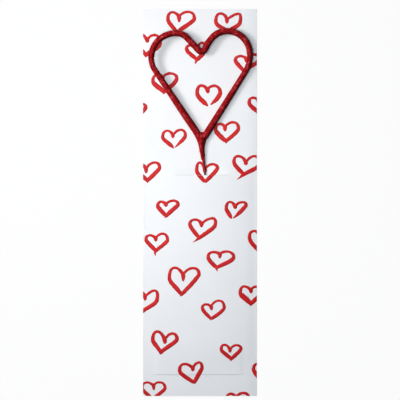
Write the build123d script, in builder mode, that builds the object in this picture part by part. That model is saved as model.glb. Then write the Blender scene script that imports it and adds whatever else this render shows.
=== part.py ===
# A heart-shaped sparkler held in the slit of a folded gift card that lies on its back.
# Millimetres. X runs across the card, Y up the card and Z out of its printed face.
# The origin is the centre of the card's outline, on the surface that it lies on.
import math
import os

from build123d import *

# Card
card_width = 56.0
card_height = 190.0
sheet = 0.4  # thickness of the card stock
glue_film = 0.05

# Slit across the front panel, placed from the card's centre
slit_x = 0.7
slit_y = 13.5
slit_length = 26.5
slit_kerf = 0.3

# Flap folded in along the left edge
seam_flap_width = 12.0
seam_flap_mitre = 3.0
seam_end_gap = 2.0  # room between the flap and the bottom tab

# Tab folded in along the bottom edge
bottom_tab_height = 10.5
bottom_tab_root = 46.0
bottom_tab_taper = 2.0

# Glue lines
glue_inset = 1.5

# Wire and coat of the sparkler
wire_diameter = 1.1
coat_diameter = 3.2
bond_gap = 0.02
stem_x = 2.5  # where the stem crosses the slit
stem_hidden = 83.5  # length of bare stem inside the card
stem_turn_rise = 1.0  # from the slit to the slight bend that turns the heart out of the card
stem_turn_bend = 8.0
neck = 17.0  # from the slit to the tip of the heart
heart_roll = 4.0  # degrees that the heart is twisted about its neck, its left lobe outwards

# Heart, placed from its tip on the centre line of the wire
heart_axis_x = 0.3
heart_width = 48.8
tip_offset = 0.9
flank_rise = 37.3
lobe_rise = 53.3
lobe_skew = 0.4  # the right lobe stands this much above that rise, the left one below it
crest_spread = 17.4
crest_offset = -0.8
cleft_depth = 10.6
cleft_offset = 0.7

# Bends of the wire: shares of the straight run beside the bend, then radii
right_flank_share = 0.26
right_shoulder_share = 0.65
right_crest_share = 0.34
left_crest_share = 0.21
left_shoulder_share = 0.77
left_flank_share = 0.21
tip_bend = 4.0
inner_room = 0.15  # how much wider the tightest bends are than the coat

# Coat on the neck: distance below the tip, half width and half depth of each section
web_rise = 1.5
web_half_width = 2.7
web_half_depth = 1.3
throat_drop = 1.2
throat_half_width = 2.1
throat_half_depth = 1.5
collar_drop = 4.2
collar_radius = 1.2
shank_drop = 9.0
shank_radius = 0.8
coat_end_drop = 15.5
coat_end_skin = 0.07  # thickness of the coat where it runs out on the wire

# Clearances
stem_rest_gap = 0.1  # stem end to back panel
sill_gap = 0.1  # stem to the front panel above the slit
lip_gap = 0.18  # stem to the bowed lip of the slit
coat_gap = 0.2  # coat to front panel, at the tip of the heart
loop_end_gap = 0.1  # cut end of the loop to the neck

# Bow that the stem presses into the front panel
bow_margin = 1.5  # flat strip that is left beside each crease
bow_full_drop = 24.0  # how far below the slit the bow reaches its full width

# Levels of the folded sheet
back_top = sheet
flap_bottom = back_top + glue_film
flap_top = flap_bottom + sheet
front_bottom = flap_top
front_top = front_bottom + sheet
tab_top = front_bottom - glue_film
tab_bottom = tab_top - sheet

# Edges and creases
card_top = card_height / 2
card_bottom = -card_height / 2
card_left = -card_width / 2
right_fold_outer = front_top / 2
right_fold_inner = (front_bottom - back_top) / 2
right_crease = card_width / 2 - right_fold_outer
left_crease = card_left + sheet
tab_fold = tab_top / 2
bottom_crease = card_bottom + tab_fold
tab_edge = card_bottom + bottom_tab_height
slit_left = slit_x - slit_length / 2
slit_right = slit_x + slit_length / 2
slit_upper = slit_y + slit_kerf / 2
slit_lower = slit_y - slit_kerf / 2

# Stem: from the back panel up through the slit
wire_radius = wire_diameter / 2
coat_radius = coat_diameter / 2
tip_run = Vector(heart_axis_x + tip_offset - stem_x, neck)
stem_up = tip_run.normalized()
stem_end_z = back_top + stem_rest_gap + wire_radius
slit_z = front_top + sill_gap + wire_radius
stem_lean = math.asin((slit_z - stem_end_z) / stem_hidden)
stem_axis = stem_up * math.cos(stem_lean) + Vector(0, 0, math.sin(stem_lean))
slit_crossing = Vector(stem_x, slit_y, slit_z)
stem_end = slit_crossing - stem_axis * stem_hidden
stem_turn = slit_crossing + stem_axis * stem_turn_rise

# Plane of the heart, through that bend: it leans until the coat clears the front panel
tip_z = front_top + coat_gap + coat_radius
heart_lean = math.asin((tip_z - stem_turn.Z) / (tip_run.length - stem_turn_rise))
neck_up = stem_up * math.cos(heart_lean) + Vector(0, 0, math.sin(heart_lean))
neck_side = Vector(stem_up.Y, -stem_up.X)
heart_plane = Plane(stem_turn, x_dir=neck_side, z_dir=neck_side.cross(neck_up)).rotated((0, heart_roll, 0))

# Corners of the heart, placed flat from the slit: up the right arm, back down the left arm
tip = Vector(stem_x, 0) + tip_run
right_flank = Vector(heart_axis_x + heart_width / 2, neck + flank_rise)
right_shoulder = Vector(right_flank.X, neck + lobe_rise + lobe_skew)
right_crest = Vector(heart_axis_x + crest_offset + crest_spread / 2, right_shoulder.Y)
cleft = Vector(heart_axis_x + cleft_offset, neck + lobe_rise - cleft_depth)
left_crest = Vector(right_crest.X - crest_spread, neck + lobe_rise - lobe_skew)
left_shoulder = Vector(right_flank.X - heart_width, left_crest.Y)
left_flank = Vector(left_shoulder.X, right_flank.Y)
left_arm = (left_flank - tip).normalized()
right_arm = (right_flank - tip).normalized()
arms_angle = math.radians(left_arm.get_angle(right_arm))
loop_end = tip + left_arm * ((wire_diameter + loop_end_gap) / math.sin(arms_angle))


def bend_radius(before, corner, after, share):
    """Radius of a bend that takes a share of the shorter run beside its corner."""
    shorter_run = min((corner - before).length, (after - corner).length)
    turn = math.radians((corner - before).get_angle(after - corner))
    return share * shorter_run / math.tan(turn / 2)


heart_corners = [
    right_flank,
    right_shoulder,
    right_crest,
    cleft,
    left_crest,
    left_shoulder,
    left_flank,
]
inner_bend = coat_radius + inner_room
heart_bends = [
    bend_radius(tip, right_flank, right_shoulder, right_flank_share),
    bend_radius(right_flank, right_shoulder, right_crest, right_shoulder_share),
    bend_radius(right_shoulder, right_crest, cleft, right_crest_share),
    inner_bend,
    bend_radius(cleft, left_crest, left_shoulder, left_crest_share),
    bend_radius(left_crest, left_shoulder, left_flank, left_shoulder_share),
    bend_radius(left_shoulder, left_flank, tip, left_flank_share),
]


def on_heart(point):
    """A corner of the flat heart, on the heart's own plane."""
    from_stem = point - Vector(stem_x, 0)
    along = from_stem.dot(stem_up) - stem_turn_rise
    return heart_plane.from_local_coords(Vector(from_stem.dot(neck_side), along))


coat_points = [on_heart(corner) for corner in (tip, *heart_corners)]
wire_points = [stem_end, stem_turn, *coat_points, on_heart(loop_end)]
wire_bends = [stem_turn_bend, tip_bend, *heart_bends]
coat_bends = [inner_bend, *heart_bends]

# Wire: stem, neck and heart loop in one length
with BuildPart() as sparkler_wire:
    with BuildLine():
        wire_path = FilletPolyline(*wire_points, radius=wire_bends)
    with BuildSketch(Plane(origin=wire_path @ 0, z_dir=wire_path % 0)):
        Circle(wire_radius)
    sweep()

# Coat: a round skin closed over the loop, which runs out down the neck
neck_down = -heart_plane.y_dir
coat_end_radius = wire_radius + coat_end_skin
neck_sections = [
    (-web_rise, web_half_width, web_half_depth),
    (throat_drop, throat_half_width, throat_half_depth),
    (collar_drop, collar_radius, collar_radius),
    (shank_drop, shank_radius, shank_radius),
    (coat_end_drop, coat_end_radius, coat_end_radius),
]

with BuildPart() as sparkler_coat:
    with BuildLine():
        coat_path = FilletPolyline(*coat_points, radius=coat_bends, close=True)
    with BuildSketch(Plane(origin=coat_path @ 0, z_dir=coat_path % 0)):
        Circle(coat_radius)
    sweep()
    for drop, half_width, half_depth in neck_sections:
        centre = coat_points[0] + neck_down * drop
        with BuildSketch(Plane(origin=centre, x_dir=heart_plane.x_dir, z_dir=neck_down)):
            Ellipse(half_width, half_depth)
    loft()
    with BuildLine():
        bore_path = FilletPolyline(*wire_points, radius=wire_bends)
    with BuildSketch(Plane(origin=bore_path @ 0, z_dir=bore_path % 0)):
        Circle(wire_radius + bond_gap)
    sweep(mode=Mode.SUBTRACT)


def swell(edge, corner, crest):
    """Half of the section at the slit: flat up to its end, then level at both ends of two equal arcs."""
    middle = (corner + crest) / 2
    across = Vector(crest.X - corner.X, 0, 0)
    return [
        Line(edge, corner),
        TangentArc(corner, middle, tangent=across),
        TangentArc(crest, middle, tangent=-across),
    ]


def stations(edge, corner, crest):
    """Where the edges of half a section meet, so that each section has the same ones."""
    return edge.X, corner.X, (corner.X + crest.X) / 2, crest.X


def arch(edge, corner, crest):
    """Half of a section below the slit: one arc from the crease to the crest, where it is level."""
    span = edge.X - crest.X
    rise = crest.Z - edge.Z
    radius = (span**2 + rise**2) / (2 * rise)

    def on_arch(x):
        return Vector(x, crest.Y, crest.Z - radius + math.sqrt(radius**2 - (x - crest.X) ** 2))

    marks = stations(edge, corner, crest)
    return [ThreePointArc(on_arch(a), on_arch((a + b) / 2), on_arch(b)) for a, b in zip(marks, marks[1:])]


def level(edge, corner, crest):
    """Half of a section where the bow has run out."""
    marks = stations(edge, corner, crest)
    return [Line(Vector(a, edge.Y, edge.Z), Vector(b, edge.Y, edge.Z)) for a, b in zip(marks, marks[1:])]


def stem_at(y):
    """Place across the card and height of the stem's centre line, at a height up the card."""
    point = slit_crossing - stem_axis * ((slit_y - y) / stem_axis.Y)
    return point.X, point.Z


def bow_section(y, bow_rise, half_section):
    """Section of the front panel across the card, bowed over the stem."""
    outline = []
    for sheet_level in (front_bottom, front_top):
        crest = Vector(stem_at(y)[0], y, sheet_level + bow_rise)
        for crease_x, edge_x, corner_x in (
            (left_crease, left_crease + bow_margin, slit_left),
            (right_crease, right_crease - bow_margin, slit_right),
        ):
            edge = Vector(edge_x, y, sheet_level)
            outline.append(Line(Vector(crease_x, y, sheet_level), edge))
            outline.extend(half_section(edge, Vector(corner_x, y, sheet_level), crest))
    for crease_x in (left_crease, right_crease):
        outline.append(Line(Vector(crease_x, y, front_bottom), Vector(crease_x, y, front_top)))
    return make_face(outline)


# Front panel: flat above the slit, bowed below it, flat again at the bottom tab
full_y = slit_lower - bow_full_drop
bow_sections = []
for station_y, half_section in (
    (slit_lower, swell),
    (full_y, arch),
    ((full_y + stem_end.Y) / 2, arch),
    (stem_end.Y, arch),
):
    lip_bottom = stem_at(station_y)[1] + wire_radius + lip_gap
    bow_sections.append(bow_section(station_y, lip_bottom - front_bottom, half_section))
bow_sections.append(bow_section(tab_edge, 0, level))

with BuildPart() as front_panel:
    loft(bow_sections)
    with BuildSketch(Plane.XY.offset(front_bottom)):
        for low, high, left, right in (
            (slit_upper, card_top, left_crease, right_crease),
            (card_bottom, tab_edge, left_crease, right_crease),
            (slit_lower, slit_upper, left_crease, slit_left),
            (slit_lower, slit_upper, slit_right, right_crease),
        ):
            with Locations(((left + right) / 2, (low + high) / 2)):
                Rectangle(right - left, high - low)
    extrude(amount=sheet)

# Back panel, with the fold that joins it to the front panel along the right edge
with BuildPart() as back_panel:
    with BuildSketch(Plane.XZ.offset(-card_top)):
        with BuildLine():
            Polyline((right_crease, back_top), (card_left, back_top), (card_left, 0), (right_crease, 0))
            ThreePointArc(
                (right_crease, 0),
                (right_crease + right_fold_outer, right_fold_outer),
                (right_crease, front_top),
            )
            Line((right_crease, front_top), (right_crease, front_bottom))
            ThreePointArc(
                (right_crease, front_bottom),
                (right_crease + right_fold_inner, right_fold_outer),
                (right_crease, back_top),
            )
        make_face()
    extrude(amount=card_top - bottom_crease)

# Seam flap, with the fold that joins it to the front panel along the left edge
flap_low = tab_edge + seam_end_gap
flap_inner = left_crease + seam_flap_width
flap_outline = [
    (left_crease, flap_low),
    (flap_inner, flap_low + seam_flap_mitre),
    (flap_inner, card_top - seam_flap_mitre),
    (left_crease, card_top),
]

with BuildPart() as seam_flap:
    with BuildSketch(Plane.XY.offset(flap_bottom)):
        with BuildLine():
            Polyline(*flap_outline, close=True)
        make_face()
    extrude(amount=sheet)
    with BuildSketch(Plane.XZ.offset(-card_top)):
        with BuildLine():
            ThreePointArc((left_crease, front_top), (card_left, flap_top), (left_crease, flap_bottom))
            Line((left_crease, flap_bottom), (left_crease, front_top))
        make_face()
    extrude(amount=card_height)

# Glue under the seam flap
with BuildPart() as seam_glue:
    with BuildSketch(Plane.XY.offset(back_top)):
        with BuildLine():
            Polyline(*flap_outline, close=True)
        make_face()
        offset(amount=-glue_inset, kind=Kind.INTERSECTION)
    extrude(amount=glue_film)

# Bottom tab, with the fold that joins it to the back panel
tab_root = bottom_tab_root / 2
tab_tip = tab_root - bottom_tab_taper
tab_outline = [
    (-tab_root, bottom_crease),
    (tab_root, bottom_crease),
    (tab_tip, tab_edge),
    (-tab_tip, tab_edge),
]

with BuildPart() as bottom_tab:
    with BuildSketch(Plane.XY.offset(tab_bottom)):
        with BuildLine():
            Polyline(*tab_outline, close=True)
        make_face()
    extrude(amount=sheet)
    with BuildSketch(Plane.YZ.offset(-tab_root)):
        with BuildLine():
            ThreePointArc((bottom_crease, tab_top), (card_bottom, tab_fold), (bottom_crease, 0))
            Line((bottom_crease, 0), (bottom_crease, tab_top))
        make_face()
    extrude(amount=bottom_tab_root)

# Glue on the bottom tab
with BuildPart() as tab_glue:
    with BuildSketch(Plane.XY.offset(tab_top)):
        with BuildLine():
            Polyline(*tab_outline, close=True)
        make_face()
        offset(amount=-glue_inset, kind=Kind.INTERSECTION)
    extrude(amount=glue_film)

os.makedirs("parts", exist_ok=True)
for name, piece in (
    ("sparkler_wire", sparkler_wire),
    ("sparkler_coat", sparkler_coat),
    ("front_panel", front_panel),
    ("back_panel", back_panel),
    ("seam_flap", seam_flap),
    ("seam_glue", seam_glue),
    ("bottom_tab", bottom_tab),
    ("tab_glue", tab_glue),
):
    piece.part.label = name
    export_step(piece.part, f"parts/{name}.step")
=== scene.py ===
import math
import random

import bmesh
import bpy
import numpy as np
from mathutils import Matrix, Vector


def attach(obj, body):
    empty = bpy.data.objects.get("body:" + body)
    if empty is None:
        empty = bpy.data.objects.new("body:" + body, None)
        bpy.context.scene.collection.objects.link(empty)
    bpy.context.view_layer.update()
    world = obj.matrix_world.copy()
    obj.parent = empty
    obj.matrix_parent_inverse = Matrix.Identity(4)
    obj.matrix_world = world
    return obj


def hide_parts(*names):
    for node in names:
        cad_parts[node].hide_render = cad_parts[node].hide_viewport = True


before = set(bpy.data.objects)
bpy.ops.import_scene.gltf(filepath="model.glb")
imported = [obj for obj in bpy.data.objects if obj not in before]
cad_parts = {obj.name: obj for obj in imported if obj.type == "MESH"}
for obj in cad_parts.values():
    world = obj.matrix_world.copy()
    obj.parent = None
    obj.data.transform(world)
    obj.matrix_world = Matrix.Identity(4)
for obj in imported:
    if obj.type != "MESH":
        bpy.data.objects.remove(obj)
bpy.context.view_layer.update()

mm = 0.001
print("stage: frame loaded,", len(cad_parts), "nodes")

# the folded card, in mm, with folds a little sharper than the solids have
card = dict(
    halfHeight=95.0,
    leftCrease=-27.85,
    rightCrease=27.87,
    faceLevel=1.25,  # top of the front panel where it lies flat
    sheet=0.4,
    leftFold=0.12,  # outer radius of the sharp fold over the glue flap
    rightFold=0.1,  # width of the fold on the other side, which is pressed flat
    rightPress=0.4,  # how far the front panel comes down to that fold
    rightPressFrom=21.5,
    bottomCrease=-94.6,
)
slit = dict(left=-12.55, right=13.95, y=13.5, kerf=0.1)

# the bow that the stem presses into the front panel
bow = dict(
    lipRise=1.66,
    fallPerMm=0.01021,  # the stem sinks into the pocket
    stemX=2.5,
    slantPerMm=0.0765,
    stemEndY=-69.75,
    flatY=-84.5,  # glued down on the tab from here on
    endSwell=1.7,  # how slowly it starts to fall past the stem's end
    margin=1.5,  # flat strip beside each crease
    fullDrop=24.0,
    lipArch=0.75,  # how round the bow is at the slit
    fadeAbove=7.0,  # how far it is felt above the slit
    tabStep=0.24,  # springs free above the tab's edge
    tabLine=(-21.9, 20.4),  # where the step is seen
    stepHalf=0.25,  # half the step's width
    stepEnd=0.8,  # half the length on which it fades at its ends
    stepFade=(2.0, 22.0),  # above the step the sheet comes down again
    ripple=0.03,
    rippleEdge=6.0,  # from a crease to the full ripple
    rippleAbove=8.0,  # from the slit to the full ripple
    rippleWaves=(0.11, 0.06),  # radians per mm, across and along
    ripplePhases=(0.8, 0.3),
)

# the sparkler: a stem through the slit, and a heart that a slight bend turns out of the card
sparkler = dict(
    slitSpot=Vector((2.5, 13.5, 1.9)),
    stemUp=Vector((-0.07625, 0.99709, 0.0)),  # as seen from the front
    stemLength=83.5,
    stemLean=math.radians(0.583),
    turnRise=1.0,  # from the slit to the bend
    turnBend=8.0,
    heartLean=math.radians(4.07),
    heartRoll=math.radians(4.0),  # the left lobe stands further out
    # places on the flat heart, from the middle of the slit
    tip=(1.1, 17.0),
    loopEnd=(0.465, 18.084),
    # corners of the heart with their bend and the coat's radius there,
    # up the right side and down the left
    heart=[
        (24.5, 54.3, 14.77, 1.42),
        (24.5, 70.4, 11.3, 1.55),
        (8.4, 70.5, 9.6, 1.66),
        (3.3, 63.75, 4.0, 1.75),
        (1.4, 58.9, 1.9, 1.6),
        (-8.4, 69.45, 7.31, 1.58),
        (-23.65, 69.45, 12.0, 1.58),
        (-23.95, 54.3, 10.67, 1.4),
        (-7.72, 29.95, 0.0, 1.73),
    ],
)


# small helpers for node trees and meshes
def join(tree, source, target):
    tree.links.new(source, target)


def addNode(tree, kind, values=None, **settings):
    # each input gets a plain value or another node's output
    node = tree.nodes.new(kind)
    for key, value in settings.items():
        setattr(node, key, value)
    for key, value in (values or {}).items():
        if isinstance(value, bpy.types.NodeSocket):
            join(tree, value, node.inputs[key])
        else:
            node.inputs[key].default_value = value
    return node


def bareTree(owner, outputKind):
    # an empty shader tree with nothing but its output
    owner.use_nodes = True
    tree = owner.node_tree
    tree.nodes.clear()
    return tree, addNode(tree, outputKind)


def newMaterial(name, values):
    material = bpy.data.materials.new(name)
    tree, output = bareTree(material, "ShaderNodeOutputMaterial")
    shader = addNode(tree, "ShaderNodeBsdfPrincipled", values)
    join(tree, shader.outputs["BSDF"], output.inputs["Surface"])
    spot = addNode(tree, "ShaderNodeTexCoord").outputs["Object"]
    return material, tree, shader, spot


def calc(tree, operation, *inputs, **settings):
    node = addNode(tree, "ShaderNodeMath", dict(enumerate(inputs)), operation=operation, **settings)
    return node.outputs["Value"]


def noise(tree, spot, scale, detail=3.0, stretch=None, roughness=0.5):
    if stretch:
        mapping = addNode(tree, "ShaderNodeMapping", {"Vector": spot, "Scale": stretch})
        spot = mapping.outputs["Vector"]
    values = {"Vector": spot, "Scale": scale, "Detail": detail, "Roughness": roughness}
    return addNode(tree, "ShaderNodeTexNoise", values).outputs["Fac"]


def ramp(tree, source, stops):
    node = addNode(tree, "ShaderNodeValToRGB", {"Fac": source})
    marks = node.color_ramp.elements
    while len(marks) < len(stops):
        marks.new(0.5)
    for mark, (place, colour) in zip(marks, stops):
        mark.position = place
        mark.color = (*colour, 1.0)
    return node.outputs["Color"]


def tint(tree, shader, source, stops):
    join(tree, ramp(tree, source, stops), shader.inputs["Base Color"])


def between(tree, source, low, high, fromLow=0.3, fromHigh=0.7):
    node = addNode(tree, "ShaderNodeMapRange", {
        "Value": source, "From Min": fromLow, "From Max": fromHigh, "To Min": low, "To Max": high,
    })
    return node.outputs["Result"]


def bump(tree, shader, source, distance, strength=1.0):
    values = {"Height": source, "Strength": strength, "Distance": distance}
    node = addNode(tree, "ShaderNodeBump", values)
    join(tree, node.outputs["Normal"], shader.inputs["Normal"])


def newObject(name, data):
    piece = bpy.data.objects.new(name, data)
    bpy.context.scene.collection.objects.link(piece)
    return piece


def newTree(name, inputs):
    tree = bpy.data.node_groups.new(name, "GeometryNodeTree")
    tree.interface.new_socket("Geometry", in_out="INPUT", socket_type="NodeSocketGeometry")
    for label, kind in inputs:
        tree.interface.new_socket(label, in_out="INPUT", socket_type=kind)
    tree.interface.new_socket("Geometry", in_out="OUTPUT", socket_type="NodeSocketGeometry")
    return tree, addNode(tree, "NodeGroupInput"), addNode(tree, "NodeGroupOutput")


def plainMesh(piece):
    # the evaluated shape becomes the piece's own mesh, and its modifiers go
    graph = bpy.context.evaluated_depsgraph_get()
    mesh = bpy.data.meshes.new_from_object(piece.evaluated_get(graph), depsgraph=graph)
    before = piece.data
    piece.modifiers.clear()
    piece.data = mesh
    bpy.data.meshes.remove(before)
    mesh.name = piece.name


def runTree(piece, tree, values):
    modifier = piece.modifiers.new(tree.name, "NODES")
    modifier.node_group = tree
    for item in tree.interface.items_tree:
        if item.in_out == "INPUT" and item.name in values:
            modifier[item.identifier] = values[item.name]
    plainMesh(piece)


def finishTree(tree, mesh, material, outlet):
    real = addNode(tree, "GeometryNodeRealizeInstances", {"Geometry": mesh}).outputs["Geometry"]
    paint = addNode(tree, "GeometryNodeSetMaterial", {"Geometry": real, "Material": material})
    join(tree, paint.outputs["Geometry"], outlet.inputs["Geometry"])


def attribute(tree, name):
    return addNode(tree, "GeometryNodeInputNamedAttribute", {"Name": name}).outputs["Attribute"]


def makeBoard(name, light, dark):
    # smooth coated board: faint cloudiness, a satin face and a very fine tooth
    board, tree, shader, spot = newMaterial(name, {"Specular IOR Level": 0.3})
    tint(tree, shader, noise(tree, spot, 45.0), [(0.3, dark), (0.7, light)])
    join(tree, between(tree, noise(tree, spot, 900.0), 0.5, 0.62), shader.inputs["Roughness"])
    bump(tree, shader, noise(tree, spot, 2600.0, detail=4.0), 0.00002, 0.35)
    return board


def makeRawEdge():
    # cut board shows its pulp: layered, a little warmer and rougher than the face
    values = {"Specular IOR Level": 0.2, "Roughness": 0.85}
    raw, tree, shader, spot = newMaterial("rawBoardEdge", values)
    layers = noise(tree, spot, 1.0, detail=4.0, stretch=(900.0, 900.0, 9000.0))
    tint(tree, shader, layers, [(0.3, (0.60, 0.58, 0.55)), (0.7, (0.82, 0.81, 0.79))])
    bump(tree, shader, layers, 0.00005, 0.6)
    return raw


def makeInk():
    # brushed red: the colour pools and thins a little along the stroke
    ink, tree, shader, spot = newMaterial("brushedRedInk", {"Specular IOR Level": 0.15})
    pool = noise(tree, spot, 420.0, detail=5.0, roughness=0.6)
    reds = [(0.28, (0.46, 0.007, 0.009)), (0.5, (0.6, 0.011, 0.013)), (0.72, (0.72, 0.022, 0.022))]
    tint(tree, shader, pool, reds)
    join(tree, between(tree, pool, 0.42, 0.6), shader.inputs["Roughness"])
    bump(tree, shader, noise(tree, spot, 1800.0), 0.00002, 0.4)
    return ink


def makeComposition():
    # dipped sparkler mix: deep red with a fine metal grain in it, whose palest flecks are painted
    # glints
    coat, tree, shader, spot = newMaterial("redComposition", {"Specular IOR Level": 0.02})
    values = {"Vector": spot, "Scale": 2700.0, "Randomness": 1.0}
    grain = addNode(tree, "ShaderNodeTexVoronoi", values)
    fleck = addNode(tree, "ShaderNodeSeparateColor", {"Color": grain.outputs["Color"]}).outputs
    clouds = noise(tree, spot, 700.0, detail=4.0)
    mixed = calc(tree, "MULTIPLY_ADD", fleck["Red"], 0.45, clouds)
    # the palest stop paints glints on the grain; the others are the mix's own reds
    reds = [
        (0.3, (0.2, 0.002, 0.005)),
        (0.62, (0.305, 0.004, 0.007)),
        (0.88, (0.4, 0.010, 0.013)),
        (0.98, (0.7, 0.09, 0.09)),
    ]
    # painted shade: the red is darkened on faces that turn away from the light
    facingShare = addNode(tree, "ShaderNodeAttribute", attribute_name="lightFacing").outputs["Fac"]
    shades = [(0.24, (0.09, 0.05, 0.11)), (0.52, (0.37, 0.27, 0.36)), (0.79, (1.0, 1.0, 1.0))]
    paintedShadeRed = addNode(  # inputs 6 and 7 and output 2 are this node's colours
        tree, "ShaderNodeMix",
        {"Factor": 1.0, 6: ramp(tree, mixed, reds), 7: ramp(tree, facingShare, shades)},
        data_type="RGBA", blend_type="MULTIPLY",
    )
    join(tree, paintedShadeRed.outputs[2], shader.inputs["Base Color"])
    join(tree, between(tree, fleck["Green"], 0.28, 0.5, 0.0, 1.0), shader.inputs["Roughness"])
    bump(tree, shader, noise(tree, spot, 2400.0, detail=4.0), 0.00008, 0.5)
    return coat


def makeDrawnWire():
    # drawn iron wire: fine lines along it, stained red close to the dip
    wire, tree, shader, spot = newMaterial("drawnIronWire", {"Metallic": 0.9})
    lines = noise(tree, spot, 1.0, detail=4.0, stretch=(5200.0, 120.0, 5200.0))
    steel = ramp(tree, lines, [(0.3, (0.09, 0.085, 0.085)), (0.7, (0.30, 0.29, 0.285))])
    along = addNode(tree, "ShaderNodeSeparateXYZ", {"Vector": spot})
    stained = between(tree, along.outputs["Y"], 0.0, 0.85, 0.004, 0.014)
    stain = (0.09, 0.004, 0.006, 1.0)
    values = {"Factor": stained, 6: steel, 7: stain}
    blend = addNode(tree, "ShaderNodeMix", values, data_type="RGBA")
    join(tree, blend.outputs[2], shader.inputs["Base Color"])
    join(tree, between(tree, lines, 0.32, 0.52), shader.inputs["Roughness"])
    bump(tree, shader, lines, 0.00003, 0.5)
    return wire


def makeGlue():
    glue, tree, shader, spot = newMaterial("driedPaperGlue", {"Specular IOR Level": 0.5})
    smear = noise(tree, spot, 300.0, detail=4.0)
    tint(tree, shader, smear, [(0.3, (0.72, 0.66, 0.52)), (0.7, (0.86, 0.83, 0.74))])
    join(tree, between(tree, smear, 0.3, 0.55), shader.inputs["Roughness"])
    bump(tree, shader, smear, 0.00005, 0.5)
    return glue


printedBoard = makeBoard("printedBoard", (0.89, 0.897, 0.903), (0.872, 0.88, 0.887))
plainBoard = makeBoard("plainBoard", (0.87, 0.882, 0.89), (0.845, 0.858, 0.868))
rawBoardEdge = makeRawEdge()
redInk = makeInk()
redComposition = makeComposition()
drawnIronWire = makeDrawnWire()
paperGlue = makeGlue()
print("stage: finishes made")


def smoothStep(low, high, value):
    t = np.clip((value - low) / (high - low), 0.0, 1.0)
    return t * t * (3.0 - 2.0 * t)


def bowRise(x, y):
    # how far the sheet stands above its flat level, in mm
    below = np.clip(slit["y"] - y, 0.0, None)
    onStem = bow["lipRise"] - bow["fallPerMm"] * below
    endRise = bow["lipRise"] - bow["fallPerMm"] * (slit["y"] - bow["stemEndY"])
    fall = np.clip((bow["stemEndY"] - y) / (bow["stemEndY"] - bow["flatY"]), 0.0, 1.0)
    pastStem = endRise * (1.0 - fall) ** 2 * (1.0 + bow["endSwell"] * fall)
    crestRise = np.where(fall > 0.0, pastStem, onStem)
    crestX = bow["stemX"] + bow["slantPerMm"] * below
    arched = bow["lipArch"] + (1.0 - bow["lipArch"]) * smoothStep(0.0, bow["fullDrop"], below)

    def archAt(place):
        left, right = card["leftCrease"] + bow["margin"], card["rightCrease"] - bow["margin"]
        fromLeft, fromRight = (place - left) / (crestX - left), (right - place) / (right - crestX)
        up = np.clip(np.where(place < crestX, fromLeft, fromRight), 0.0, 1.0)
        return up * (1.0 + arched * (1.0 - up))

    # above the slit the sheet is held down by the stem, and lifted only at the ends of the slit
    slitEnd = np.where(x < bow["stemX"], slit["left"], slit["right"])
    toEnd = np.clip((x - bow["stemX"]) / (slitEnd - bow["stemX"]), 0.0, 1.0)
    inSlit = (x > slit["left"]) & (x < slit["right"])
    lifted = np.where(inSlit, archAt(slitEnd) * toEnd * toEnd * (3.0 - 2.0 * toEnd), archAt(x))
    fade = 1.0 - smoothStep(0.0, bow["fadeAbove"], y - slit["y"])
    return crestRise * np.where(y < slit["y"], archAt(x), lifted * fade)


def sheetLevel(x, y):
    # the printed face: flat, bowed below the slit, with a step above the tab and a faint ripple
    flatY, half, end = bow["flatY"], bow["stepHalf"], bow["stepEnd"]
    fadeFrom, fadeTo = bow["stepFade"]
    left, right = bow["tabLine"]
    tabStep = bow["tabStep"] * smoothStep(flatY - half, flatY + half, y)
    tabStep = tabStep * (1.0 - smoothStep(flatY + fadeFrom, flatY + fadeTo, y))
    tabStep = tabStep * smoothStep(left - end, left + end, x)
    tabStep = tabStep * (1.0 - smoothStep(right - end, right + end, x))
    toCrease = np.minimum(x - card["leftCrease"], card["rightCrease"] - x)
    edge = smoothStep(0.0, bow["rippleEdge"], toCrease)
    waves, phases = bow["rippleWaves"], bow["ripplePhases"]
    ripple = bow["ripple"] * edge * np.sin(waves[0] * x + phases[0])
    ripple = ripple * np.sin(waves[1] * y + phases[1])
    risen = smoothStep(slit["y"], slit["y"] + bow["rippleAbove"], y)
    ripple = np.where(y > slit["y"], ripple * risen, 0.0)
    pressFrom = card["rightPressFrom"]
    toFold = np.clip((x - pressFrom) / (card["rightCrease"] - pressFrom), 0.0, 1.0)
    radius = card["leftFold"]
    pastCrease = np.clip(card["leftCrease"] - x, 0.0, radius)
    overFold = radius - np.sqrt(radius**2 - pastCrease**2)
    level = card["faceLevel"] + bowRise(x, y) + tabStep + ripple
    return level - card["rightPress"] * toFold**2 - overFold


def boardPiece(name, mesh, face):
    # a piece of card with the given finish, raw at its cut edges
    data = bpy.data.meshes.new(name)
    mesh.to_mesh(data)
    mesh.free()
    data.materials.append(face)
    data.materials.append(rawBoardEdge)
    return newObject(name, data)


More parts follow.
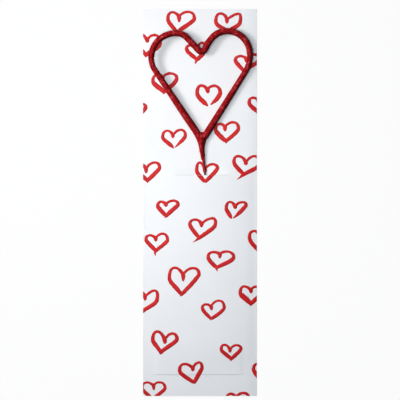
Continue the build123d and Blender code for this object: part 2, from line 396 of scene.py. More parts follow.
def makeFrontPanel():
    lip = 0.5 * slit["kerf"]
    hair = 1e-6  # for comparing rounded places
    nearStep = 0.3  # rows stand close together on the step over the tab
    columns = np.unique(np.round(np.concatenate([
        card["leftCrease"] - card["leftFold"] * np.sin(np.linspace(0.25, 1.5, 5)),
        np.linspace(card["leftCrease"], card["leftCrease"] + bow["margin"], 4),
        np.linspace(card["leftCrease"] + bow["margin"], slit["left"], 17),
        np.linspace(slit["left"], slit["right"], 45),
        np.linspace(slit["right"], card["rightCrease"] - bow["margin"], 17),
        np.linspace(card["rightCrease"] - bow["margin"], card["rightCrease"], 4),
    ]), 5))
    rows = np.unique(np.round(np.concatenate([
        np.linspace(-card["halfHeight"], bow["flatY"] - nearStep, 8),
        np.linspace(bow["flatY"] - nearStep, bow["flatY"] + nearStep, 9),
        np.linspace(bow["flatY"] + nearStep, bow["stemEndY"], 16),
        np.linspace(bow["stemEndY"], slit["y"] - bow["fullDrop"], 48),
        np.linspace(slit["y"] - bow["fullDrop"], slit["y"] - lip, 28),
        np.linspace(slit["y"] + lip, slit["y"] + bow["fadeAbove"], 16),
        np.linspace(slit["y"] + bow["fadeAbove"], card["halfHeight"], 46),
    ]), 5))
    x, y = np.meshgrid(columns, rows)
    z = sheetLevel(x, y)
    across = len(columns)
    slitRow = int(np.searchsorted(rows, slit["y"])) - 1
    mesh = bmesh.new()
    top = [mesh.verts.new((a * mm, b * mm, c * mm)) for a, b, c in zip(x.flat, y.flat, z.flat)]
    low = [mesh.verts.new((v.co.x, v.co.y, v.co.z - card["sheet"] * mm)) for v in top]
    borders = {}
    for r in range(len(rows) - 1):
        for c in range(across - 1):
            if r == slitRow and slit["left"] - hair < columns[c] < slit["right"] - hair:
                continue  # the slit is open
            corner = r * across + c
            ring = (corner, corner + 1, corner + across + 1, corner + across)
            mesh.faces.new([top[i] for i in ring]).smooth = True
            mesh.faces.new([low[i] for i in reversed(ring)]).smooth = True
            for a, b in zip(ring, ring[1:] + ring[:1]):
                if (b, a) in borders:
                    del borders[(b, a)]
                else:
                    borders[(a, b)] = True
    for a, b in borders:
        wall = mesh.faces.new((top[b], top[a], low[a], low[b]))
        folded = a % across == 0 and b % across == 0
        wall.material_index = 0 if folded else 1  # the folded side isn't a cut edge
        for edge in wall.edges:
            edge.smooth = False
    panel = boardPiece("printedFrontPanel", mesh, printedBoard)
    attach(panel, "card")
    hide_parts("front_panel")
    return panel


def pressedFold(turn, inset):
    # a point of the pressed fold, from 0 at the front panel to pi at the back panel, in mm
    halfLevel = 0.5 * (card["faceLevel"] - card["rightPress"])
    out = (card["rightFold"] - inset) * math.sin(turn)
    return card["rightCrease"] + out, halfLevel + (halfLevel - inset) * math.cos(turn)


def makeBackPanel():
    steps = 14
    turns = [math.pi * (1.0 - k / steps) for k in range(steps + 1)]
    outer = [(-card["rightCrease"] - card["rightFold"], 0.0)] + [pressedFold(t, 0.0) for t in turns]
    inner = [(outer[0][0], card["sheet"])] + [pressedFold(t, card["sheet"]) for t in turns]
    mesh = bmesh.new()
    rings = []
    for y in (card["bottomCrease"], card["halfHeight"]):
        rings.append([
            [mesh.verts.new((x * mm, y * mm, z * mm)) for x, z in line]
            for line in (outer, inner)
        ])
    (lowOut, lowIn), (highOut, highIn) = rings
    for k in range(len(outer) - 1):
        mesh.faces.new((lowOut[k + 1], highOut[k + 1], highOut[k], lowOut[k])).smooth = True
        mesh.faces.new((lowIn[k], highIn[k], highIn[k + 1], lowIn[k + 1])).smooth = True
        mesh.faces.new((lowOut[k], lowIn[k], lowIn[k + 1], lowOut[k + 1])).material_index = 1
        mesh.faces.new((highOut[k + 1], highIn[k + 1], highIn[k], highOut[k])).material_index = 1
    for k, flip in ((0, False), (-1, True)):
        ring = (lowOut[k], highOut[k], highIn[k], lowIn[k])
        mesh.faces.new(ring[::-1] if flip else ring).material_index = 1
    for face in mesh.faces:
        if face.material_index == 1:
            for edge in face.edges:
                edge.smooth = False
    bmesh.ops.recalc_face_normals(mesh, faces=mesh.faces[:])
    panel = boardPiece("plainBackPanel", mesh, plainBoard)
    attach(panel, "card")
    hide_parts("back_panel")
    return panel


panels = makeFrontPanel(), makeBackPanel()
print("stage: card panels,", sum(len(panel.data.polygons) for panel in panels), "faces")


# brushed hearts printed over the card, lengths in mm
brushHearts = dict(
    full=1.04,  # half widths of the stroke
    thin=0.64,
    films=(0.014, 0.022),  # ink above the sheet, the right stroke over the left one
    sunk=0.012,  # and into it, so that no gap shows
    spacing=0.3,  # between points of a stroke
    roughEdge=0.36,
    roughScale=900.0,
    slitMargin=0.005,  # the ink stops short of the slit and of the card's ends
    endMargin=0.03,
    foldReach=1.5,  # how far it runs round a fold, in radii
    flatWithin=27.0,  # half the width on which it faces up
    seed=11,
    seedStep=7,
    # what every stroke draws for itself, as shares of the heart's width and height
    lobeTurn=(0.33, 0.42),  # how far down the lobe turns to the side
    lobeSquare=(-0.05, 0.1),
    notchPull=(0.16, 0.3),  # pulls of the curves on their ends
    sidePull=(0.1, 0.2),
    tipPull=(0.22, 0.36),
    tipRise=(0.14, 0.22),
    swell=(0.95, 1.1),  # pressure before the tip
    footSway=(-0.25, 0.2),  # in mm, where the stub starts
    pressAt=(0.0, 0.14, 0.3, 0.5, 0.62, 0.82, 1.0),  # where along it the pressure is set
    stubPress=(0.55, 1.1),
    tailPress=(0.85, 0.2),
    taperAt=(0, 2, 5),  # points from an end of the stroke
    taper=(0.45, 0.85, 1.0),
    # open tip, by side: share of the gap, length drawn out, least pressure
    openTip={-1: (0.35, 1.6, 0.55), 1: (1.0, 4.5, 0.3)},
    steps=dict(lobe=40, side=44, stub=14, tail=12, mitre=5),
    tailTurn=(-0.45, -0.85),  # where a tail points to, if the heart has no turn of its own
    keenPull=8.0,  # how much a straight side shortens the pull on it
    squareLobes={1: 2.6, 16: 2.0, 22: 2.0},  # hearts whose right lobe ends in a corner
    # sides (heart, -1 left or 1 right) that run straight to the tip, or bulge if below 0
    keenSides={
        (1, -1): -0.1, (1, 1): -0.12, (2, 1): -0.1, (13, 1): -0.1, (14, 1): 0.08, (15, 1): 0.08,
        (19, 1): -0.05, (20, 1): 0.07, (22, 1): -0.1, (26, 1): 0.1,
    },
    rightLift=0.05,  # the right lobe turns down that share of the height higher
    heavySides={5: 1.15, 10: 1.15, 21: 1.3},  # hearts with a broad left side
    # pressure of the hand, where it isn't 1
    hands={6: 1.09, 9: 0.92, 18: 0.96, 23: 0.88, 24: 1.05, 25: 0.9, 28: 0.88},
    tailTurns={
        3: (-0.45, -0.9), 13: (-0.8, -0.6), 16: (-0.8, -0.6), 18: (-0.1, -1.0), 19: (0.15, -1.0),
    },
    # x, y, width, height, tip, notch, dip, lift of the right lobe, stub, tail (open tip if below 0)
    places=[
        (-9.25, 88.4, 15.0, 11.0, -2.0, -1.0, 2.0, 0.0, 3.5, 0.0),
        (13.75, 88.25, 14.0, 10.0, 0.0, -0.5, 2.5, 0.0, 3.0, 0.0),
        (-25.5, 77.4, 14.0, 11.0, -1.0, -0.4, 2.5, 0.0, 2.0, 0.0),
        (-2.0, 74.0, 11.25, 9.0, 0.5, 0.5, 2.5, 1.0, 1.5, 2.25),
        (23.25, 68.5, 13.75, 8.5, -2.0, -0.5, 1.5, 0.5, 2.5, 0.0),
        (-17.25, 58.75, 13.75, 10.0, -0.5, -1.0, 1.5, 1.0, 2.0, 0.0),
        (4.25, 52.25, 13.5, 11.5, 0.0, -0.5, 2.0, 0.5, 2.5, -1.0),
        (29.5, 47.75, 12.75, 8.5, -0.5, -0.5, 2.0, 0.0, 2.5, 0.0),
        (-31.6, 45.0, 12.0, 8.8, -0.5, -0.5, 2.0, 0.0, 2.5, 0.0),
        (-12.75, 31.0, 13.0, 10.0, 0.0, -0.5, 2.5, 0.5, 2.0, -0.5),
        (13.25, 34.5, 13.25, 9.75, -0.5, -1.0, 1.5, 0.5, 3.0, 0.0),
        (-25.75, 15.0, 13.75, 9.5, 0.0, -0.75, 2.5, 0.0, 3.0, 0.0),
        (3.5, 14.75, 12.25, 10.25, -1.0, -1.0, 3.0, -0.5, 2.5, 0.5),
        (23.0, 18.25, 14.75, 10.0, -1.5, -0.5, 3.0, 0.0, 2.0, 4.25),
        (-15.75, -3.0, 12.0, 8.5, -1.0, -1.0, 1.5, 0.5, 2.0, 1.0),
        (17.75, -4.0, 11.75, 9.5, -2.0, -0.5, 2.0, 0.0, 2.0, -0.5),
        (1.25, -12.5, 14.5, 10.5, -1.5, -0.5, 2.5, 0.5, 2.5, 4.0),
        (30.0, -18.75, 13.5, 11.0, -1.0, -0.5, 2.5, 0.0, 2.5, 0.0),
        (-21.25, -19.75, 12.5, 9.0, -0.5, -0.5, 1.5, 0.5, 2.5, 2.5),
        (10.25, -28.0, 14.5, 9.0, -2.0, -0.5, 1.0, 0.5, 3.0, 1.75),
        (-7.75, -38.75, 16.5, 14.0, -1.5, -0.5, 3.0, 0.0, 4.0, 1.0),
        (25.0, -45.5, 12.5, 9.5, 0.0, 0.0, 1.5, 0.5, 2.5, 0.0),
        (-27.0, -48.5, 14.0, 11.5, -1.5, 0.0, 2.5, 0.0, 3.0, 0.0),
        (6.5, -53.0, 12.5, 9.0, -1.0, -1.0, 2.0, 1.5, 2.5, 1.0),
        (-17.25, -68.5, 14.0, 11.0, -2.0, 0.0, 4.0, -1.0, 2.5, 0.0),
        (15.25, -73.25, 11.5, 8.0, 0.0, -0.5, 2.5, 0.0, 2.0, 0.0),
        (-4.5, -83.75, 13.0, 10.5, 1.5, 1.0, 2.0, 1.0, 2.5, 0.5),
        (31.5, -83.75, 12.5, 10.5, -0.5, -0.5, 2.0, 0.0, 2.5, 0.0),
        (-22.75, -92.5, 13.0, 9.5, -0.5, 0.0, 1.5, 0.5, 3.0, 0.0),
        (18.5, -98.0, 13.0, 9.5, -0.5, -1.0, 1.5, 0.0, 2.5, 0.0),
    ],
)


def bezier(p0, p1, p2, p3, count):
    t = np.linspace(0.0, 1.0, count)[:, None]
    s = 1.0 - t
    return s**3 * p0 + 3 * s * s * t * p1 + 3 * s * t * t * p2 + t**3 * p3


def onwardFrom(path):
    step = path[-1] - path[-4]
    return step / np.linalg.norm(step)


def brushStroke(side, number, draw):
    # one side of a heart: from the notch over the lobe and down to the tip, with its pressures
    def pick(label):
        return draw.uniform(*brushHearts[label])

    x, y, width, height, tip, notch, dip, lift, stub, tail = brushHearts["places"][number]
    steps = brushHearts["steps"]
    hand = brushHearts["hands"].get(number, 1.0)
    full, thin = brushHearts["full"] * hand, brushHearts["thin"] * hand
    heavy = brushHearts["heavySides"].get(number, 1.0) if side < 0 else 1.0
    corner = brushHearts["squareLobes"].get(number, 0.0) if side > 0 else 0.0
    keen = brushHearts["keenSides"].get((number, side), 0.0)
    raised = keen + (brushHearts["rightLift"] if side > 0 else 0.0)
    crest = 0.5 * height + 0.5 * side * lift - thin
    start = np.array([notch, 0.5 * height - dip - 0.8 * full])
    flank = np.array([side * (0.5 * width - full), height * (0.5 + raised - pick("lobeTurn"))])
    end = np.array([tip, -0.5 * height + 0.5 * full])
    # the middle of the lobe's curve comes to the crest
    peak = (crest - 0.125 * (start[1] + flank[1])) / 0.75
    out = flank[0] - start[0]
    square = pick("lobeSquare") * width
    lobe = bezier(
        start,
        np.array([start[0] + out * pick("notchPull"), peak - corner]),
        np.array([flank[0] + side * 0.02 * width + 0.5 * corner, peak + square + corner]),
        flank,
        steps["lobe"],
    )
    fall = height * pick("sidePull") * (1.0 - brushHearts["keenPull"] * keen)
    down = bezier(
        flank,
        np.array([flank[0] - side * 0.01 * width, flank[1] - fall]),
        end + np.array([(flank[0] - end[0]) * pick("tipPull"), height * pick("tipRise")]),
        end,
        steps["side"],
    )
    path = np.concatenate([lobe, down[1:]])
    press = np.interp(
        np.linspace(0.0, 1.0, len(path)),
        brushHearts["pressAt"],
        [thin if side > 0 else full, 1.05 * thin, thin, 0.92 * full, full * heavy,
         pick("swell") * full * heavy, 0.85 * full],
    )
    if side < 0 and stub > 0:  # the left stroke starts with a short pull down from the notch
        count = steps["stub"]
        foot = np.array([start[0] + pick("footSway"), start[1] - stub + 0.9 * full])
        lead = foot + (start - foot) * np.linspace(0.0, 1.0, count)[:-1, None]
        path = np.concatenate([lead, path])
        press = np.concatenate([np.linspace(*brushHearts["stubPress"], count)[:-1] * full, press])
    if side > 0 and tail > 0:  # the right stroke runs on past the tip
        count = steps["tail"]
        onward = onwardFrom(path)
        turn = np.array(brushHearts["tailTurns"].get(number, brushHearts["tailTurn"]))
        pulls = end + onward * 0.3 * tail, end + turn * 0.6 * tail
        trail = bezier(end, *pulls, end + turn * tail, count)
        path = np.concatenate([path, trail[1:]])
        press = np.concatenate([press, np.linspace(*brushHearts["tailPress"], count)[1:] * full])
    if side < 0 and tail == 0:  # the left stroke runs on to a mitred point
        count = steps["mitre"]
        onward = onwardFrom(path) * press[-1]
        path = np.concatenate([path, end + onward * np.linspace(0.0, 1.0, count)[1:, None]])
        press = np.concatenate([press, np.full(count - 1, press[-1])])
    if tail < 0:  # open tip: both strokes stop short
        toEnd = np.linalg.norm(path - end, axis=1)
        share, drawnOut, least = brushHearts["openTip"][side]
        keep = toEnd > -tail * share
        faded = press * np.interp(toEnd + tail, [0.0, drawnOut], [least, 1.0])
        path, press = path[keep], faded[keep]
    fromStart = np.arange(len(press))
    press = press * np.interp(fromStart, brushHearts["taperAt"], brushHearts["taper"])
    if tail != 0:
        press = press * np.interp(fromStart[::-1], brushHearts["taperAt"], brushHearts["taper"])
    return path + np.array([x, y]), press


def makeRibbonTree(material):
    # a flat brush drawn along every stroke, with a dry, uneven edge
    tree, inlet, outlet = newTree("brushRibbons", [
        ("Spacing", "NodeSocketFloat"),
        ("Rough Edge", "NodeSocketFloat"),
        ("Rough Scale", "NodeSocketFloat"),
    ])
    given = inlet.outputs
    curve = addNode(tree, "GeometryNodeMeshToCurve", {"Mesh": given["Geometry"]})
    even = addNode(
        tree, "GeometryNodeResampleCurve",
        {"Curve": curve.outputs["Curve"], "Length": given["Spacing"]}, mode="LENGTH",
    )
    flat = addNode(
        tree, "GeometryNodeSetCurveNormal", {"Curve": even.outputs["Curve"]}, mode="Z_UP"
    )
    line = addNode(tree, "GeometryNodeCurvePrimitiveLine", {"Start": (-1, 0, 0), "End": (1, 0, 0)})
    bristles = addNode(
        tree, "GeometryNodeResampleCurve", {"Curve": line.outputs["Curve"], "Count": 4}
    )
    ribbon = addNode(tree, "GeometryNodeCurveToMesh", {
        "Curve": flat.outputs["Curve"],
        "Profile Curve": bristles.outputs["Curve"],
        "Scale": attribute(tree, "brushWidth"),
    })
    texture = addNode(tree, "ShaderNodeTexNoise", {"Scale": given["Rough Scale"], "Detail": 2.0})
    centred = addNode(
        tree, "ShaderNodeVectorMath",
        {0: texture.outputs["Color"], 1: (0.5, 0.5, 0.5)}, operation="SUBTRACT",
    )
    edge = given["Rough Edge"]
    amount = addNode(tree, "ShaderNodeCombineXYZ", {"X": edge, "Y": edge})
    shift = addNode(
        tree, "ShaderNodeVectorMath",
        {0: centred.outputs["Vector"], 1: amount.outputs["Vector"]}, operation="MULTIPLY",
    )
    rough = addNode(
        tree, "GeometryNodeSetPosition",
        {"Geometry": ribbon.outputs["Mesh"], "Offset": shift.outputs["Vector"]},
    )
    finishTree(tree, rough.outputs["Geometry"], material, outlet)
    return tree


def pathObject(name, paths, layers):
    # polylines with one value at each point for every named layer
    points, edges = [], []
    values = {label: [] for label in layers}
    for path in paths:
        first = len(points)
        points += [tuple(c * mm for c in p) for p in path["points"]]
        edges += [(i, i + 1) for i in range(first, len(points) - 1)]
        if path.get("closed"):
            edges.append((len(points) - 1, first))
        for label in layers:
            values[label] += [v * mm for v in path[label]]
    mesh = bpy.data.meshes.new(name)
    mesh.from_pydata(points, edges, [])
    for label in layers:
        mesh.attributes.new(label, "FLOAT", "POINT").data.foreach_set("value", values[label])
    return newObject(name, mesh)


def cutFlat(mesh, place, away, trim=True):
    # cuts the flat ribbons along a straight line, and drops what lies beyond it
    parts = mesh.verts[:] + mesh.edges[:] + mesh.faces[:]
    place = tuple(c * mm for c in place)
    bmesh.ops.bisect_plane(
        mesh, geom=parts, plane_co=place, plane_no=away,
        clear_outer=trim, clear_inner=False, dist=1e-7,
    )


def layOnSheet(co):
    # rolls a flat point over the sheet and round the two long folds
    x, y, lift = co / mm
    if x > card["rightCrease"]:
        turn = (x - card["rightCrease"]) / card["rightFold"]
        out, level = pressedFold(turn, -lift)
        return Vector((out, y, level)) * mm
    if x < card["leftCrease"]:
        radius = card["leftFold"]
        turn = (card["leftCrease"] - x) / radius
        reach = radius + lift
        level = card["faceLevel"] - radius
        out = card["leftCrease"] - reach * math.sin(turn)
        return Vector((out, y, level + reach * math.cos(turn))) * mm
    return Vector((x, y, float(sheetLevel(np.array(x), np.array(y))) + lift)) * mm


def makeHearts():
    strokes = []
    for number in range(len(brushHearts["places"])):
        draw = random.Random(brushHearts["seed"] + brushHearts["seedStep"] * number)
        for side in (-1, 1):
            path, press = brushStroke(side, number, draw)
            film = brushHearts["films"][(side + 1) // 2]
            strokes.append(dict(points=[(p[0], p[1], film) for p in path], brushWidth=list(press)))
    hearts = pathObject("brushedHearts", strokes, ["brushWidth"])
    runTree(hearts, makeRibbonTree(redInk), {
        "Spacing": brushHearts["spacing"] * mm,
        "Rough Edge": brushHearts["roughEdge"] * mm,
        "Rough Scale": brushHearts["roughScale"],
    })
    flat = bmesh.new()
    flat.from_mesh(hearts.data)
    lip = 0.5 * slit["kerf"] + brushHearts["slitMargin"]
    edgeY = card["halfHeight"] - brushHearts["endMargin"]
    reach = brushHearts["foldReach"]
    cutFlat(flat, (0, edgeY, 0), (0, 1, 0))
    cutFlat(flat, (0, -edgeY, 0), (0, -1, 0))
    cutFlat(flat, (card["rightCrease"] + reach * card["rightFold"], 0, 0), (1, 0, 0))
    cutFlat(flat, (card["leftCrease"] - reach * card["leftFold"], 0, 0), (-1, 0, 0))
    # lines where the sheet turns sharply get their own row of points
    turns = (0.0, 0.5, 1.0)
    for x in (
        card["leftCrease"] + bow["margin"],
        card["rightCrease"] - bow["margin"],
        *(card["leftCrease"] - k * card["leftFold"] for k in turns),
        *(card["rightCrease"] + k * card["rightFold"] for k in turns),
    ):
        cutFlat(flat, (x, 0, 0), (1, 0, 0), trim=False)
    stepLow, stepHigh = bow["flatY"] - bow["stepHalf"], bow["flatY"] + bow["stepHalf"]
    for y in (*np.linspace(stepLow, stepHigh, 8), slit["y"] - lip, slit["y"] + lip):
        cutFlat(flat, (0, y, 0), (0, 1, 0), trim=False)
    # the stroke that crosses the slit is parted there
    parted = []
    for face in flat.faces:
        x, y = face.calc_center_median().xy / mm
        if slit["left"] < x < slit["right"] and abs(y - slit["y"]) < lip:
            parted.append(face)
    bmesh.ops.delete(flat, geom=parted, context="FACES")
    for vert in flat.verts:
        vert.co = layOnSheet(vert.co)
    flat.normal_update()
    for face in flat.faces:
        face.smooth = True
        if face.normal.z < 0 and abs(face.calc_center_median().x) < brushHearts["flatWithin"] * mm:
            face.normal_flip()
    flat.to_mesh(hearts.data)
    flat.free()
    film = hearts.modifiers.new("film", "SOLIDIFY")
    film.thickness = (brushHearts["films"][1] + brushHearts["sunk"]) * mm
    film.offset = -1.0
    plainMesh(hearts)
    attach(hearts, "card")
    return hearts


hearts = makeHearts()
print("stage: brushed hearts,", len(hearts.data.polygons), "faces")


def upSlope(lean):
    return sparkler["stemUp"] * math.cos(lean) + Vector((0.0, 0.0, math.sin(lean)))


def alongStem(length):
    # a place on the straight stem, from where it crosses the slit
    return sparkler["slitSpot"] + upSlope(sparkler["stemLean"]) * length


def onHeart(x, y, lift=0.0):
    # from the flat heart to the card's frame, in mm; lift is out of the heart's plane
    up = sparkler["stemUp"]
    side = Vector((up.y, -up.x, 0.0))
    neckUp = upSlope(sparkler["heartLean"])
    roll = sparkler["heartRoll"]
    across = side * math.cos(roll) - side.cross(neckUp) * math.sin(roll)
    fromStem = Vector((x - sparkler["slitSpot"].x, y, 0.0))
    climb = fromStem.dot(up) - sparkler["turnRise"]
    flat = alongStem(sparkler["turnRise"]) + across * fromStem.dot(side) + neckUp * climb
    return flat + across.cross(neckUp) * lift


def makeTubeTree(name, material):
    # a polyline with a bend at each corner becomes a round tube of changing radius
    tree, inlet, outlet = newTree(name, [
        ("Bend Steps", "NodeSocketInt"),
        ("Step Length", "NodeSocketFloat"),
        ("Sides", "NodeSocketInt"),
    ])
    given = inlet.outputs
    curve = addNode(tree, "GeometryNodeMeshToCurve", {"Mesh": given["Geometry"]})
    bends = addNode(tree, "GeometryNodeFilletCurve", {
        "Curve": curve.outputs["Curve"],
        "Radius": attribute(tree, "bend"),
        "Limit Radius": True,
        "Count": given["Bend Steps"],
    }, mode="POLY")
    even = addNode(
        tree, "GeometryNodeResampleCurve",
        {"Curve": bends.outputs["Curve"], "Length": given["Step Length"]}, mode="LENGTH",
    )
    ring = addNode(
        tree, "GeometryNodeCurvePrimitiveCircle", {"Resolution": given["Sides"], "Radius": 1.0}
    )
    tube = addNode(tree, "GeometryNodeCurveToMesh", {
        "Curve": even.outputs["Curve"],
        "Profile Curve": ring.outputs["Curve"],
        "Scale": attribute(tree, "thick"),
        "Fill Caps": True,
    })
    smooth = addNode(tree, "GeometryNodeSetShadeSmooth", {"Geometry": tube.outputs["Mesh"]})
    finishTree(tree, smooth.outputs["Geometry"], material, outlet)
    return tree


# the wire, lengths in mm
wireLook = dict(radius=0.55, tipBend=4.0, sides=16, bendSteps=18, step=0.7)


def makeWire():
    stem = [alongStem(-sparkler["stemLength"]), alongStem(sparkler["turnRise"])]
    corners = sparkler["heart"]
    places = [sparkler["tip"], *(corner[:2] for corner in corners), sparkler["loopEnd"]]
    bends = [sparkler["turnBend"], wireLook["tipBend"], *(corner[2] for corner in corners)]
    route = dict(
        points=stem + [onHeart(x, y) for x, y in places],
        bend=[0.0, *bends, 0.0],
        thick=[wireLook["radius"]] * (len(bends) + 2),
    )
    wire = pathObject("bentIronWire", [route], ["bend", "thick"])
    runTree(wire, makeTubeTree("bentWire", drawnIronWire), {
        "Bend Steps": wireLook["bendSteps"],
        "Step Length": wireLook["step"] * mm,
        "Sides": wireLook["sides"],
    })
    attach(wire, "sparkler")
    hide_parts("sparkler_wire")
    return wire


wire = makeWire()
print("stage: wire,", len(wire.data.polygons), "faces")

# the dipped coat, lengths in mm
coatLook = dict(
    tipRadius=1.72,
    tipBend=1.75,
    # along the neck, from above the tip down to where the dip runs out:
    # drop, shift to the right, lift, radius
    neck=[
        (-4.1, 0.0, 0.0, 0.95),
        (-3.1, -0.1, 0.1, 1.3),
        (-1.4, -0.4, 0.15, 1.7),
        (0.0, -0.45, 0.15, 1.74),
        (1.7, -0.55, 0.1, 1.56),
        (3.7, -0.4, 0.0, 1.24),
        (5.7, -0.27, 0.0, 1.05),
        (7.6, -0.09, 0.0, 0.85),
        (9.6, -0.08, 0.0, 0.75),
        (11.5, 0.0, 0.0, 0.67),
        (15.4, 0.1, 0.0, 0.63),
    ],
    webReach=11.0,  # how far up each arm the webs of the fork start
    webShift=-0.5,  # from the tip to the line that they meet on
    webTurn=1.0,
    webDrop=9.5,
    webBend=20.0,
    rightWeb=[1.45, 1.0, 0.68],  # radii along each web
    leftWeb=[1.45, 1.28, 0.1],
    sides=24,
    bendSteps=18,
    step=0.4,
    voxel=0.17,  # the tubes melt into one skin of this mesh size
    smoothing=7,
    smoothShare=0.5,
    lumpHeight=0.06,
    lumpScale=430.0,
    pitHeight=0.03,
    pitScale=1500.0,
    specksPerMm2=0.5,
    speckRadius=0.1,
    speckSizes=(0.4, 1.0),
    seed=4,
    paintedLightFrom=(-0.79, 0.42, 0.45),  # where the light comes from: the coat's red is painted darker on faces that turn away from it
)


def makeSkinTree():
    # uneven dip: broad lumps and fine pits along the normal
    tree, inlet, outlet = newTree("dippedSkin", [
        ("Lump Height", "NodeSocketFloat"), ("Lump Scale", "NodeSocketFloat"),
        ("Pit Height", "NodeSocketFloat"), ("Pit Scale", "NodeSocketFloat"),
        ("Specks", "NodeSocketFloat"), ("Speck Radius", "NodeSocketFloat"),
        ("Seed", "NodeSocketInt"), ("Painted Light From", "NodeSocketVector"),
    ])
    given = inlet.outputs
    heights = []
    for label, detail in (("Lump", 2.0), ("Pit", 3.0)):
        values = {"Scale": given[label + " Scale"], "Detail": detail}
        texture = addNode(tree, "ShaderNodeTexNoise", values).outputs["Fac"]
        centred = calc(tree, "SUBTRACT", texture, 0.5)
        heights.append(calc(tree, "MULTIPLY", centred, given[label + " Height"]))
    total = calc(tree, "ADD", *heights)
    normal = addNode(tree, "GeometryNodeInputNormal").outputs["Normal"]
    values = {"Vector": normal, "Scale": total}
    along = addNode(tree, "ShaderNodeVectorMath", values, operation="SCALE")
    skin = addNode(
        tree, "GeometryNodeSetPosition",
        {"Geometry": given["Geometry"], "Offset": along.outputs["Vector"]},
    ).outputs["Geometry"]
    # metal grains that stand out of the skin here and there
    spots = addNode(
        tree, "GeometryNodeDistributePointsOnFaces",
        {"Mesh": skin, "Density": given["Specks"], "Seed": given["Seed"]},
    )
    values = {"Radius": given["Speck Radius"], "Subdivisions": 1}
    grain = addNode(tree, "GeometryNodeMeshIcoSphere", values)
    least, most = coatLook["speckSizes"]
    values = {"Min": least, "Max": most, "Seed": given["Seed"]}
    size = addNode(tree, "FunctionNodeRandomValue", values)
    place = addNode(tree, "GeometryNodeInstanceOnPoints", {
        "Points": spots.outputs["Points"],
        "Instance": grain.outputs["Mesh"],
        "Rotation": spots.outputs["Rotation"],
        "Scale": size.outputs["Value"],
    })
    both = addNode(tree, "GeometryNodeJoinGeometry", {"Geometry": place.outputs["Instances"]})
    join(tree, skin, both.inputs["Geometry"])
    # how far each face turns towards the light, from 0 to 1, for the painted shade
    values = {0: normal, 1: given["Painted Light From"]}
    turned = addNode(tree, "ShaderNodeVectorMath", values, operation="DOT_PRODUCT").outputs["Value"]
    keep = addNode(tree, "GeometryNodeStoreNamedAttribute", {
        "Geometry": both.outputs["Geometry"],
        "Name": "lightFacing",
        "Value": calc(tree, "MULTIPLY_ADD", turned, 0.5, 0.5),
    }, data_type="FLOAT", domain="POINT")
    smooth = addNode(tree, "GeometryNodeSetShadeSmooth", {"Geometry": keep.outputs["Geometry"]})
    finishTree(tree, smooth.outputs["Geometry"], redComposition, outlet)
    return tree


def makeCoat():
    tip = np.array(sparkler["tip"])
    down = -np.array(sparkler["stemUp"])[:2]
    right = np.array([-down[1], down[0]])
    corners = [(*sparkler["tip"], coatLook["tipBend"], coatLook["tipRadius"])] + sparkler["heart"]
    loop = dict(
        closed=True,
        points=[onHeart(*corner[:2]) for corner in corners],
        bend=[corner[2] for corner in corners],
        thick=[corner[3] for corner in corners],
    )
    drops, shifts, lifts, radii = zip(*coatLook["neck"])
    neck = dict(
        points=[
            onHeart(*(tip + down * drop + right * shift), lift)
            for drop, shift, lift in zip(drops, shifts, lifts)
        ],
        bend=[0.0] * len(radii),
        thick=radii,
    )
    routes = [loop, neck]
    for end, web in ((0, "rightWeb"), (-1, "leftWeb")):  # webs from both arms into the neck
        arm = np.array(sparkler["heart"][end][:2]) - tip
        arm = arm / np.linalg.norm(arm)
        root = tip + right * coatLook["webShift"]
        places = [
            tip + arm * coatLook["webReach"],
            root + down * coatLook["webTurn"],
            root + down * coatLook["webDrop"],
        ]
        routes.append(dict(
            points=[onHeart(*place) for place in places],
            bend=[0.0, coatLook["webBend"], 0.0],
            thick=coatLook[web],
        ))
    coat = pathObject("sparklerCoat", routes, ["bend", "thick"])
    runTree(coat, makeTubeTree("coatCore", redComposition), {
        "Bend Steps": coatLook["bendSteps"],
        "Step Length": coatLook["step"] * mm,
        "Sides": coatLook["sides"],
    })
    melt = coat.modifiers.new("melt", "REMESH")
    melt.mode = "VOXEL"
    melt.voxel_size = coatLook["voxel"] * mm
    even = coat.modifiers.new("even", "SMOOTH")
    even.factor = coatLook["smoothShare"]
    even.iterations = coatLook["smoothing"]
    plainMesh(coat)
    runTree(coat, makeSkinTree(), {
        "Lump Height": coatLook["lumpHeight"] * mm,
        "Lump Scale": coatLook["lumpScale"],
        "Pit Height": coatLook["pitHeight"] * mm,
        "Pit Scale": coatLook["pitScale"],
        "Specks": coatLook["specksPerMm2"] * 1.0e6,  # per square metre
        "Speck Radius": coatLook["speckRadius"] * mm,
        "Seed": coatLook["seed"],
        "Painted Light From": coatLook["paintedLightFrom"],
    })
    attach(coat, "sparkler")
    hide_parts("sparkler_coat")
    return coat


coat = makeCoat()
print("stage: coat,", len(coat.data.polygons), "faces")

# card pieces whose solids are right as they are
for nodeName, finish in (
    ("seam_flap", printedBoard),
    ("bottom_tab", plainBoard),
    ("seam_glue", paperGlue),
    ("tab_glue", paperGlue),
):
    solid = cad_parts[nodeName]
    solid.data.materials.clear()
    solid.data.materials.append(finish)
print("stage: card solids dressed")

# floor, light and camera, lengths in m
stageLook = dict(
    floorSize=8.0,
    floorLevel=-0.00004,
    floorWhite=(0.82, 0.83, 0.84),
    # share of plain white that the camera sees on the floor; the rest keeps the shadow
    nearGlow=0.93,
    farGlow=1.0,
    glowReach=(0.12, 0.5),  # from the near to the far share
    # lamps: name, place, aim, size and power
    lamps=[
        ("keyLight", (-0.225, 0.085, 0.29), (-0.01, 0.0, 0.0), 0.1, 0.58),
        ("softLight", (-0.09, 0.05, 0.17), (-0.01, 0.0, 0.0), 0.2, 0.104),
        ("fillLight", (-0.03, 0.05, 0.35), (-0.01, 0.0, 0.0), 0.09, 0.55),
    ],
    ambient=(0.045, 0.065, 0.095),
    lens=200.0,
    sensor=36.0,
    clip=(0.01, 50.0),
    viewWidth=0.1964,
    viewCentre=(0.0, 0.00128, 0.00125),
)


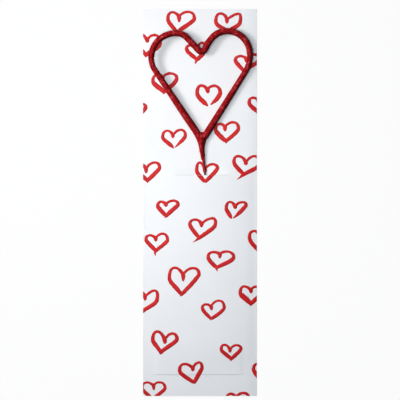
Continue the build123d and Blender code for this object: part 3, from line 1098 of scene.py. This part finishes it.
def seenRays(tree):
    # 1 for what the camera sees, straight, in a reflection or through something clear
    rays = addNode(tree, "ShaderNodeLightPath").outputs
    seen = calc(tree, "ADD", rays["Is Camera Ray"], rays["Is Glossy Ray"])
    return calc(tree, "ADD", seen, rays["Is Transmission Ray"], use_clamp=True)


def makeFloor():
    half = 0.5 * stageLook["floorSize"]
    level = stageLook["floorLevel"]
    corners = [(x * half, y * half, level) for x, y in ((-1, -1), (1, -1), (1, 1), (-1, 1))]
    mesh = bpy.data.meshes.new("floor")
    mesh.from_pydata(corners, [], [(0, 1, 2, 3)])
    floor = newObject("floor", mesh)
    material = bpy.data.materials.new("paleFloor")
    tree, output = bareTree(material, "ShaderNodeOutputMaterial")
    matt = addNode(tree, "ShaderNodeBsdfDiffuse", {"Color": (*stageLook["floorWhite"], 1.0)})
    glow = addNode(tree, "ShaderNodeEmission")
    spot = addNode(tree, "ShaderNodeTexCoord").outputs["Object"]
    reach = addNode(tree, "ShaderNodeVectorMath", {0: spot}, operation="LENGTH")
    glows = stageLook["nearGlow"], stageLook["farGlow"]
    far = between(tree, reach.outputs["Value"], *glows, *stageLook["glowReach"])
    share = calc(tree, "MULTIPLY", far, seenRays(tree))
    both = addNode(tree, "ShaderNodeMixShader", {
        "Fac": share, 1: matt.outputs["BSDF"], 2: glow.outputs["Emission"],
    })
    join(tree, both.outputs["Shader"], output.inputs["Surface"])
    mesh.materials.append(material)


def makeWorld():
    world = bpy.data.worlds.new("studio")
    bpy.context.scene.world = world
    tree, output = bareTree(world, "ShaderNodeOutputWorld")
    ambient = (*stageLook["ambient"], 1.0)
    soft = addNode(tree, "ShaderNodeBackground", {"Color": ambient, "Strength": 1.0})
    white = addNode(tree, "ShaderNodeBackground", {"Color": (1, 1, 1, 1), "Strength": 1.0})
    mix = addNode(tree, "ShaderNodeMixShader", {
        "Fac": seenRays(tree), 1: soft.outputs["Background"], 2: white.outputs["Background"],
    })
    join(tree, mix.outputs["Shader"], output.inputs["Surface"])


def makeLamps():
    for name, place, aim, size, power in stageLook["lamps"]:
        lamp = bpy.data.lights.new(name, "AREA")
        lamp.energy = power
        lamp.size = size
        holder = newObject(name, lamp)
        holder.location = place
        holder.rotation_euler = (Vector(aim) - Vector(place)).to_track_quat("-Z", "Y").to_euler()
        holder.visible_camera = False


def makeCamera():
    lens = bpy.data.cameras.new("camera")
    lens.lens = stageLook["lens"]
    lens.sensor_width = stageLook["sensor"]
    lens.clip_start, lens.clip_end = stageLook["clip"]
    camera = newObject("camera", lens)
    away = stageLook["viewWidth"] * stageLook["lens"] / stageLook["sensor"]
    camera.location = Vector(stageLook["viewCentre"]) + Vector((0.0, 0.0, away))
    bpy.context.scene.camera = camera


makeFloor()
makeWorld()
makeLamps()
makeCamera()
bpy.context.scene.view_settings.view_transform = "Standard"
print("stage: floor, light and camera set")
